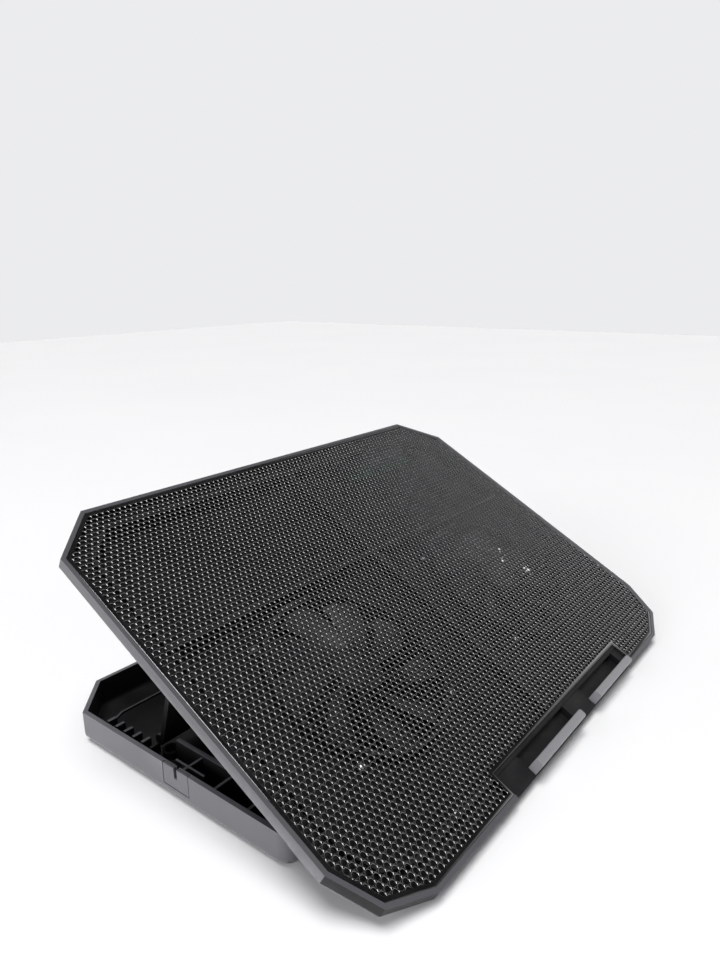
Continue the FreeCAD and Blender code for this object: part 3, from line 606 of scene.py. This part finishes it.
def lathe(build: bmesh.types.BMesh, profile: list[Point2], steps: int) -> None:
    """Turn a profile of (radius, height) points about Z into a closed solid.

    Args:
        build: the mesh to add to.
        profile: points from the axis, out and back to the axis.
        steps: facets round the axis.
    """
    rings = []
    for radius, height in profile:
        if radius == 0.0:
            rings.append([build.verts.new((0.0, 0.0, height))])
            continue
        turn = [2 * math.pi * k / steps for k in range(steps)]
        rings.append([build.verts.new((radius * math.cos(a), radius * math.sin(a), height)) for a in turn])
    for a, b in zip(rings, rings[1:]):
        for k in range(steps):
            j = (k + 1) % steps
            corners = [a[k % len(a)], a[j % len(a)], b[j % len(b)], b[k % len(b)]]
            build.faces.new(list(dict.fromkeys(corners)))
    bmesh.ops.recalc_face_normals(build, faces=build.faces)


@dataclass
class Workshop:
    """What every sub-assembly needs: the finishes and the shared geometry trees."""

    materials: dict[Coat, bpy.types.Material]
    perforate: GeometryTree
    turned: GeometryTree
    placed: GeometryTree

    def settle(self, piece: bpy.types.Object, body: str, slot: str, *nodes: str) -> None:
        """Ride a finished piece on its body and hide the CAD nodes that it stands for."""
        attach(piece, body)
        if nodes:
            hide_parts(*nodes)
        LOG.info("%s: %d faces on %s", piece.name, len(piece.data.polygons), body)

    def paint(self, node: str, coat: Coat) -> None:
        """Give a CAD node that is shown as it is a better material."""
        dress(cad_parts[node], self.materials[coat])
        LOG.info("%s: painted %s", node, coat.value.name)

    def ease(self, node: str, body: str, slot: str, coat: Coat, width_mm: float, segments: int = 2,
             ) -> bpy.types.Object:
        """Replace a CAD node by a copy with rounded edges in one finish."""
        piece = eased_copy(node, node + "_shell", width_mm, segments)
        dress(piece, self.materials[coat])
        self.settle(piece, body, slot, node)
        return piece


# ------------------------------------------------------------------ the panel

@dataclass
class PerforatedTop:
    """The punched metal sheet of the panel with its plain border, sizes in millimetres."""

    width: float = 356.0
    depth: float = 262.0
    front_cut: float = 36.0
    facet_knee: float = 11.0
    rear_cut: float = 28.0
    rim: float = 2.6
    top: float = -0.3
    thickness: float = 0.8
    border: float = 2.2
    pitch: float = 3.65
    hole_radius: float = 1.42
    shoulder: float = 0.37
    roll: float = 0.11
    roll_drop: float = 0.17
    wall_drop: float = 0.40
    guide_inset: float = 0.9
    stop_clear: float = 1.2
    hole_sides: int = 12
    strips: int = 6
    stop_block: tuple[float, float, float] = (-70.2, 96.2, 16.2)

    def outline(self) -> list[Point2]:
        """Corners of the sheet, counter-clockwise, with the notch for the laptop stops."""
        half = self.width / 2
        right = [(half - self.front_cut, 0.0), (half - self.facet_knee, self.facet_knee),
                 (half, self.front_cut), (half, self.depth - self.rear_cut),
                 (half - self.rear_cut, self.depth)]
        left = [(-x, s) for x, s in reversed(right)]
        loop = offset_loop(right + left, self.rim)
        x0, x1, s1 = self.stop_block
        front = loop[0][1]
        return [(x1, s1), (x1, front)] + loop + [(x0, front), (x0, s1)]

    def tile(self) -> bpy.types.Object:
        """One hexagonal cell with a rounded punched hole, open at its outer sides."""
        build = bmesh.new()
        reach = self.pitch / math.sqrt(3.0)
        low = self.top - self.thickness
        corner = [math.pi / 6 + math.pi * k / 3 for k in range(6)]
        around = [2 * math.pi * (k + 0.5) / self.hole_sides for k in range(self.hole_sides)]

        def loop(radius: float, angles: list[float], z: float) -> list[bmesh.types.BMVert]:
            """A ring of vertices."""
            return [build.verts.new((radius * math.cos(a), radius * math.sin(a), z)) for a in angles]

        outer_top = loop(reach, corner, self.top)
        outer_low = loop(reach, corner, low)
        bead = loop(self.hole_radius + self.shoulder, around, self.top)
        lip = loop(self.hole_radius + self.roll, around, self.top - self.roll_drop)
        wall = loop(self.hole_radius, around, self.top - self.wall_drop)
        foot = loop(self.hole_radius, around, low)
        for a, b in ((bead, lip), (lip, wall), (wall, foot)):
            for k in range(self.hole_sides):
                j = (k + 1) % self.hole_sides
                build.faces.new((a[k], a[j], b[j], b[k]))
        per_side = self.hole_sides // 6
        for outer, ring in ((outer_top, bead), (outer_low, foot)):
            for k in range(6):
                first = per_side * k + per_side // 2
                ids = [(first + m) % self.hole_sides for m in range(per_side + 1)]
                build.faces.new([outer[k], outer[(k + 1) % 6]] + [ring[i] for i in reversed(ids)])
        bmesh.ops.recalc_face_normals(build, faces=build.faces)
        flip = [f for f in build.faces if f.calc_center_median().z > self.top - 0.001 and f.normal.z < 0]
        if flip:
            bmesh.ops.reverse_faces(build, faces=build.faces)
        return mesh_object("mesh_tile", build)

    def build(self, shop: Workshop) -> None:
        """Make the border and the perforated strips."""
        outline = self.outline()
        guide = bmesh.new()
        keep = offset_loop(outline, self.guide_inset)
        clear = self.stop_clear
        for i, side, up in ((0, clear, clear), (1, clear, 0.0), (-2, -clear, 0.0), (-1, -clear, clear)):
            keep[i] = (keep[i][0] + side, keep[i][1] + up)
        guide.faces.new([guide.verts.new((x, s, 0.0)) for x, s in keep])
        bmesh.ops.triangulate(guide, faces=guide.faces)
        tile = self.tile()
        row = self.pitch * math.sqrt(3.0) / 2
        columns = int(self.width / self.pitch) + 2
        rows = int(self.depth / row) + 2
        guide_object = mesh_object("guide", guide)
        step = self.width / self.strips
        for i in range(self.strips):
            start = guide_object.copy()
            start.data = guide_object.data.copy()
            link(start)
            strip = shop.perforate.apply(start, f"mesh_strip_{i + 1}", {
                "Tile": tile, "Pitch": self.pitch, "Row Pitch": row, "Columns": columns, "Rows": rows,
                "Centre": (-self.pitch / 4, self.depth / 2, 0.0), "From X": -self.width / 2 + step * i,
                "To X": -self.width / 2 + step * (i + 1), "Material": shop.materials[Coat.ENAMEL]})
            strip.data.transform(PANEL.matrix())
            smooth_by_angle(strip, 50.0)
            shop.settle(strip, "panel", "black_mesh", *(["mesh_panel"] if i == 0 else []))
        drop(guide_object)
        drop(tile)
        edge = bmesh.new()
        inner = offset_loop(outline, self.border)
        band_mesh(edge, outline, inner, self.top - self.thickness - 0.03, self.top + 0.03)
        bmesh.ops.recalc_face_normals(edge, faces=edge.faces)
        border = mesh_object("mesh_border_raw", edge)
        bevel = border.modifiers.new("ease", "BEVEL")
        bevel.width = 0.12
        bevel.segments = 2
        border = baked(border, "mesh_border")
        border.data.transform(PANEL.matrix())
        dress(border, shop.materials[Coat.ENAMEL])
        smooth_by_angle(border)
        shop.settle(border, "panel", "black_mesh")


@dataclass
class PanelShell:
    """Rim frame, back cover, stops and small parts of the panel."""

    half_width: float = 178.0
    depth: float = 262.0
    rim_wall: float = 2.45
    shaded_pocket: tuple[float, float] = (-70.1, 96.1)
    ease_mm: float = 0.55

    def build(self, shop: Workshop) -> None:
        """Round the mouldings and lay the near-black finish on the inside of the frame and the stop pockets
        as painted shade.
        """
        rim = eased_copy("pad_frame", "rim_frame", self.ease_mm, 3)
        dress(rim, shop.materials[Coat.RIM])
        rim.data.materials.append(shop.materials[Coat.BLACK_AND_SHADE])
        to_panel = PANEL.matrix().inverted()
        # Painted shade: the frame's inside below the mesh and the stop pockets get the near-black finish.
        for face in rim.data.polygons:
            spot = to_panel @ face.center
            inside = (abs(spot.x) < self.half_width - self.rim_wall
                      and self.rim_wall < spot.y < self.depth - self.rim_wall)
            shaded_pocket = self.shaded_pocket[0] < spot.x < self.shaded_pocket[1] and 2.4 < spot.y < 16.1 and spot.z < -0.4
            if shaded_pocket or (inside and -5.9 < spot.z < -1.0):
                face.material_index = 1
        shop.settle(rim, "panel", "charcoal_plastic", "pad_frame")
        shop.ease("back_cover", "panel", "black_plastic", Coat.BLACK_AND_SHADE, 0.45)
        for side in ("left", "right"):
            shop.ease(f"laptop_stop_{side}", f"stop_{side}", "stop_plastic", Coat.STOP, 0.3, 2)
            shop.paint(f"stop_pin_{side}", Coat.STEEL)
            shop.paint(f"flap_pin_{side}", Coat.STEEL)
            shop.ease(f"pad_foot_{side}", "panel", "rubber", Coat.RUBBER, 0.15)


@dataclass
class HubPocket:
    """Circuit board, sockets and speed wheel at the right rear."""

    def build(self, shop: Workshop) -> None:
        """Dress the small parts."""
        shop.ease("hub_board", "panel", "circuit_board", Coat.BOARD, 0.12, 1)
        for name in ("usb_socket_left", "usb_socket_right", "power_inlet"):
            shop.ease(name, "panel", "socket_metal", Coat.NICKEL, 0.18)
        shop.ease("speed_wheel", "wheel", "black_plastic", Coat.BLACK_AND_SHADE, 0.15, 1)


@dataclass
class FanPair:
    """The two fans in their drums, sizes in millimetres."""

    spacing: float = 80.0
    centre_s: float = 101.5
    blades: int = 9
    hub_radius: float = 15.0
    tip_radius: float = 49.4
    top: float = -4.8
    low: float = -13.1
    shaft_radius: float = 1.5
    shaft_low: float = -14.3
    chord_steps: int = 8
    span_steps: int = 9

    def blade(self) -> bpy.types.Object:
        """One swept, twisted blade with thickness."""
        build = bmesh.new()
        rows = []
        middle = (self.top + self.low) / 2
        half_height = (self.top - self.low) / 2 - 0.7
        for i in range(self.span_steps + 1):
            t = i / self.span_steps
            radius = self.hub_radius - 0.6 + t * (self.tip_radius - self.hub_radius + 0.6)
            sweep = math.radians(16.0) * t ** 1.4
            spread = math.radians(30.0 - 7.0 * t)
            row = []
            for j in range(self.chord_steps + 1):
                u = j / self.chord_steps
                angle = sweep + spread * (u - 0.5)
                camber = 0.9 * math.sin(math.pi * u)
                height = middle + half_height * (1.0 - 2.0 * u) * (1.0 - 0.25 * t) + camber
                row.append(build.verts.new((radius * math.cos(angle), radius * math.sin(angle), height)))
            rows.append(row)
        for a, b in zip(rows, rows[1:]):
            for j in range(self.chord_steps):
                build.faces.new((a[j], b[j], b[j + 1], a[j + 1]))
        sheet = mesh_object("blade_raw", build)
        thick = sheet.modifiers.new("thickness", "SOLIDIFY")
        thick.thickness = 1.0
        thick.offset = 0.0
        return baked(sheet, "blade")

    def rotor(self, shop: Workshop, side: str, sign: int) -> None:
        """Hub cup, shaft and blades of one fan."""
        hub = bmesh.new()
        r = self.hub_radius
        lathe(hub, [(0.0, self.top), (r - 1.6, self.top), (r - 0.5, self.top - 0.3), (r, self.top - 1.4),
                    (r, self.low), (r - 1.2, self.low), (r - 1.4, self.top - 1.4),
                    (self.shaft_radius, self.top - 1.6), (self.shaft_radius, self.shaft_low),
                    (0.0, self.shaft_low)], 48)
        blade = self.blade()
        piece = shop.turned.apply(mesh_object("hub", hub), f"fan_{side}_rotor", {
            "Copy": blade, "Count": self.blades, "Material": shop.materials[Coat.FAN]})
        drop(blade)
        self._put(piece, sign)
        smooth_by_angle(piece, 40.0)
        shop.settle(piece, f"fan_{side}", "fan_plastic", f"fan_rotor_{side}")

    def _put(self, piece: bpy.types.Object, sign: int) -> None:
        """Move a piece from the fan's own axis to its place in the row frame."""
        piece.data.transform(PANEL.matrix() @ Matrix.Translation((sign * self.spacing, self.centre_s, 0.0)))

    def build(self, shop: Workshop) -> None:
        """Both fans with frames, bearings and grilles."""
        for side, sign in (("left", -1), ("right", 1)):
            self.rotor(shop, side, sign)
            shop.ease(f"fan_frame_{side}", "panel", "fan_plastic", Coat.FAN, 0.25)
            shop.ease(f"fan_grille_{side}", "panel", "black_plastic", Coat.BLACK_AND_SHADE, 0.4)
            shop.paint(f"fan_bearing_{side}", Coat.BRASS)


@dataclass
class Fasteners:
    """Cross-recess screws in the back cover and the fan ears, sizes in millimetres."""

    cover_places: list[Point2] = field(default_factory=lambda: (
        [(side * 163.5, s) for side in (-1, 1) for s in (60.0, 140.0, 215.0)]
        + [(side * 100.0, 16.6) for side in (-1, 1)] + [(-100.0, 247.4), (0.0, 247.4)]))
    fan_x: float = 80.0
    fan_s: float = 101.5
    ear_radius: float = 57.4

    def screw(self, head_radius: float, head_height: float, shank: float, length: float) -> bpy.types.Object:
        """A pan-head screw standing on its head's underside, with a cross recess."""
        build = bmesh.new()
        r, h = head_radius, head_height
        lathe(build, [(0.0, h), (r * 0.55, h * 0.97), (r * 0.86, h * 0.72), (r, h * 0.3), (r * 0.97, 0.0),
                      (shank, 0.0), (shank, -length * 0.8), (0.0, -length)], 28)
        body = mesh_object("screw_raw", build)
        cutters = []
        for turn in (0.0, math.pi / 2):
            cross = bmesh.new()
            bmesh.ops.create_cube(cross, size=1.0)
            bmesh.ops.scale(cross, verts=cross.verts, vec=(r * 1.15, r * 0.24, h * 1.2))
            bmesh.ops.rotate(cross, verts=cross.verts, matrix=Matrix.Rotation(turn, 3, "Z"))
            bmesh.ops.translate(cross, verts=cross.verts, vec=(0.0, 0.0, h))
            cutter = mesh_object("cutter", cross)
            cut = body.modifiers.new("cross", "BOOLEAN")
            cut.object = cutter
            cut.operation = "DIFFERENCE"
            cutters.append(cutter)
        result = baked(body, "screw")
        for cutter in cutters:
            drop(cutter)
        return result

    def group(self, shop: Workshop, name: str, places: list[Point2], height: float, downwards: bool,
              template: bpy.types.Object) -> bpy.types.Object:
        """Copies of one screw at places in the panel, heads up or down."""
        flip = -1.0 if downwards else 1.0
        points = points_object([(x, s * flip, 0.0) for x, s in places])
        piece = shop.placed.apply(points, name, {"Copy": template, "Seed": 7,
                                                 "Material": shop.materials[Coat.STEEL]})
        if downwards:
            piece.data.transform(Matrix.Rotation(math.pi, 4, "X"))
        piece.data.transform(PANEL.matrix() @ Matrix.Translation((0.0, 0.0, height)))
        smooth_by_angle(piece, 35.0)
        return piece

    def build(self, shop: Workshop) -> None:
        """Both groups of screws."""
        template = self.screw(2.2, 1.5, 1.05, 5.4)
        cover = self.group(shop, "cover_screw_heads", self.cover_places, -10.7, True, template)
        shop.settle(cover, "panel", "steel", "cover_screws")
        drop(template)
        template = self.screw(2.1, 1.5, 1.0, 3.0)
        turns = [math.radians(a) for a in (45, 135, 225, 315)]
        reach = self.ear_radius
        places = [(side * self.fan_x + reach * math.cos(a), self.fan_s + reach * math.sin(a))
                  for side in (-1, 1) for a in turns]
        fans = self.group(shop, "fan_screw_heads", places, -8.4, False, template)
        shop.settle(fans, "panel", "steel", "fan_screws")
        drop(template)


# ------------------------------------------------------------------ flap and base

@dataclass
class SupportFlap:
    """The prop plate, sizes in millimetres."""

    half_width: float = 149.4
    ease_mm: float = 0.6

    def build(self, shop: Workshop) -> None:
        """Round the plate's edges; its side faces get the near-black finish as painted shade and their
        rounded edges the lighter charcoal as a painted highlight.
        """
        plate = eased_copy("support_flap", "flap_plate", self.ease_mm, 2)
        dress(plate, shop.materials[Coat.FLAP])
        plate.data.materials.append(shop.materials[Coat.RIM])
        plate.data.materials.append(shop.materials[Coat.BLACK_AND_SHADE])
        # Painted shade and highlight: flat side faces get the near-black finish, their rounded edges the
        # lighter rim charcoal.
        for face in plate.data.polygons:
            across = abs(face.normal.x)
            if abs(face.center.x) / MM > self.half_width - 1.0 and across > 0.2:
                face.material_index = 2 if across > 0.97 else 1
        shop.settle(plate, "flap", "black_plastic", "support_flap")


@dataclass
class BaseTray:
    """The tray on the table with its guides, feet and pins, sizes in millimetres."""

    floor_top: float = 2.4
    wall: float = 2.4
    corner_cut: float = 24.0
    seam: float = 0.22

    def shrink(self, piece: bpy.types.Object) -> None:
        """Leave a seam round a cable guide, along the wall and below."""
        spots = [v.co for v in piece.data.vertices]
        middle = (min(s.y for s in spots) + max(s.y for s in spots)) / 2
        low = min(s.z for s in spots)
        for spot in spots:
            spot.y -= math.copysign(self.seam * MM, spot.y - middle) if abs(spot.y - middle) > 8 * MM else 0.0
            spot.z += self.seam * MM if spot.z < low + 1.0 * MM else 0.0

    def build(self, shop: Workshop) -> None:
        """Round the tray's edges; its outside is charcoal, its inside gets the near-black finish as painted
        shade, with ledge tops and inner side walls kept charcoal as painted light.
        """
        tray = eased_copy("base_tray", "tray_shell", 0.45, 3)
        dress(tray, shop.materials[Coat.TRAY])
        tray.data.materials.append(shop.materials[Coat.BLACK_AND_SHADE])
        low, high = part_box("base_tray")
        # Painted shade: faces inside the tray get the near-black finish; lit ledge tops and inner side walls
        # keep the charcoal as painted light, and the boss keeps the painted shade.
        for face in tray.data.polygons:
            c = face.center / MM
            cut = abs(c.x) + c.y - (high.x + high.y) / MM + self.corner_cut
            inside = (abs(c.x) < high.x / MM - self.wall
                      and low.y / MM + self.wall < c.y < high.y / MM - self.wall)
            inside = inside and cut < -3.2 and c.z > self.floor_top - 0.6
            shaded_boss = 40.0 < c.y < 56.0 and abs(c.x) < 156.0
            lit_ledge = face.normal.z > 0.7 and c.z > self.floor_top + 0.9 and not shaded_boss
            lit_side_wall = abs(face.normal.x) > 0.9 and 149.5 < abs(c.x) < 153.5 and c.z > self.floor_top + 6.0
            if inside and c.z < high.z / MM - 0.25 and not (lit_ledge or lit_side_wall):
                face.material_index = 1
        shop.settle(tray, "base", "charcoal_plastic", "base_tray")
        for side in ("left", "right"):
            guide = shop.ease(f"cable_guide_{side}", "base", "charcoal_plastic", Coat.TRAY, 0.35)
            self.shrink(guide)
            shop.paint(f"hinge_pin_{side}", Coat.STEEL)
            for end in ("front", "rear"):
                shop.paint(f"base_foot_{end}_{side}", Coat.RUBBER)


# ------------------------------------------------------------------ studio

class LampKind(Enum):
    """A soft box close by, or a soft even light from far away."""

    BOX = "AREA"
    SKY = "SUN"


@dataclass
class Lamp:
    """One light: where it stands, what it aims at, its size (metres, or degrees across) and power."""

    name: str
    place: tuple[float, float, float]
    aim: tuple[float, float, float]
    size: float
    power: float
    colour: Colour = (1.0, 1.0, 1.0)
    kind: LampKind = LampKind.BOX

    def build(self) -> None:
        """Add the light."""
        data = bpy.data.lights.new(self.name, self.kind.value)
        if self.kind is LampKind.SKY:
            data.angle = math.radians(self.size)
        else:
            data.size = self.size
        data.energy = self.power
        data.color = self.colour
        lamp = link(bpy.data.objects.new(self.name, data))
        lamp.location = self.place
        lamp.rotation_euler = (Vector(self.aim) - Vector(self.place)).to_track_quat("-Z", "Y").to_euler()


@dataclass
class Studio:
    """Camera, pale floor and soft light."""

    camera_place: tuple[float, float, float] = (-0.3549, -0.2517, 0.2542)
    camera_turn_deg: tuple[float, float, float] = (74.53, 0.75, -51.71)
    lens: float = 27.42
    sensor: float = 36.0
    floor_size: float = 6.0
    horizon: float = 0.85
    zenith: float = 0.03
    lamps: list[Lamp] = field(default_factory=lambda: [
        Lamp("side_left", (-1.7, 0.1, 0.5), (0.0, 0.0, 0.03), 1.0, 15.0, (0.97, 0.97, 1.0)),
        Lamp("above_left", (-0.25, -0.1, 1.35), (0.0, 0.0, 0.0), 34.0, 2.75, kind=LampKind.SKY),
        Lamp("front_fill", (0.4, -1.8, 0.9), (0.0, 0.0, 0.05), 1.0, 1.0)])

    def build(self) -> None:
        """Make the camera, the floor, the lights and the surrounding light."""
        data = bpy.data.cameras.new("camera")
        data.lens = self.lens
        data.sensor_width = self.sensor
        data.clip_start = 0.01
        camera = link(bpy.data.objects.new("camera", data))
        camera.location = self.camera_place
        camera.rotation_euler = Euler([math.radians(a) for a in self.camera_turn_deg])
        bpy.context.scene.camera = camera
        bpy.context.scene.view_settings.view_transform = "Standard"
        for lamp in self.lamps:
            lamp.build()
        world = bpy.data.worlds.new("studio")
        world.use_nodes = True
        background = world.node_tree.nodes["Background"]
        background.inputs["Color"].default_value = (0.98, 0.985, 1.0, 1.0)
        wire = Nodes(world.node_tree)
        split = wire.add("ShaderNodeSeparateXYZ", Vector=wire.add("ShaderNodeTexCoord").outputs["Generated"])
        wire.feed(background.inputs["Strength"],
                  wire.ramp(split.outputs["Z"], 0.32, 0.60, self.horizon, self.zenith))
        bpy.context.scene.world = world
        self._floor()

    def _floor(self) -> None:
        """Large pale floor with a faint mottling."""
        build = bmesh.new()
        bmesh.ops.create_grid(build, x_segments=1, y_segments=1, size=self.floor_size / 2)
        floor = mesh_object("floor", build)
        floor.location.z = -0.0002
        material = bpy.data.materials.new("pale_floor")
        material.use_nodes = True
        wire = Nodes(material.node_tree)
        shader = material.node_tree.nodes["Principled BSDF"]
        place = wire.add("ShaderNodeTexCoord").outputs["Object"]
        cloud = wire.noise(place, 3.0, 4.0, 0.5)
        wire.feed(shader.inputs["Base Color"], wire.mix(cloud, (0.86, 0.86, 0.87, 1), (0.90, 0.90, 0.90, 1)))
        shader.inputs["Roughness"].default_value = 0.55
        dress(floor, material)


def main() -> None:
    """Build every sub-assembly in order."""
    logging.basicConfig(level=logging.INFO, format="%(name)s %(message)s")
    effects = Effects()
    shop = Workshop({coat: coat.value.build(effects) for coat in Coat}, perforation_tree(),
                    turned_copies_tree(), placed_copies_tree())
    for assembly in (PerforatedTop(), PanelShell(), HubPocket(), FanPair(), Fasteners(), SupportFlap(),
                     BaseTray()):
        LOG.info("building %s", type(assembly).__name__)
        assembly.build(shop)
    Studio().build()


if __name__ == "__main__":
    main()
